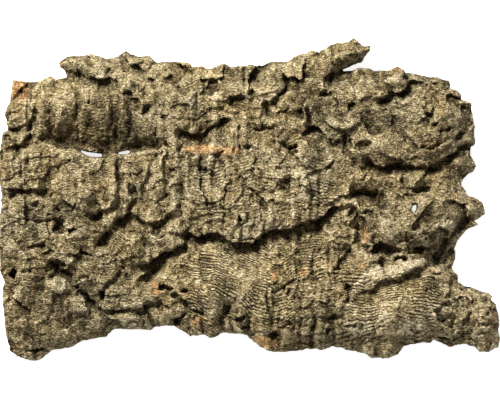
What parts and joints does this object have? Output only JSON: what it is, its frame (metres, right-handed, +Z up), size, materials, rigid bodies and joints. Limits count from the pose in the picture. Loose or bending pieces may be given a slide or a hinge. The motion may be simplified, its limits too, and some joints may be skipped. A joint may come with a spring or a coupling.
{
  "type": "piece of cork bark",
  "caption": "Rough slab of virgin cork oak bark with deep furrows, ragged broken edges and a sawn end, lying flat with its outer side up.",
  "frame": {"origin": "on the ground, under the centre of the slab's bounding box", "axes": "+X along the trunk, from the sawn end to the broken end; +Z up, out of the rough outer side"},
  "size_m": [0.3, 0.194, 0.0359],
  "materials": {
    "bark": "rough, dry and crumbly, olive grey with tan where fresh cork shows"
  },
  "bodies": {
    "root": {"bark": "bark"}
  },
  "joints": []
}
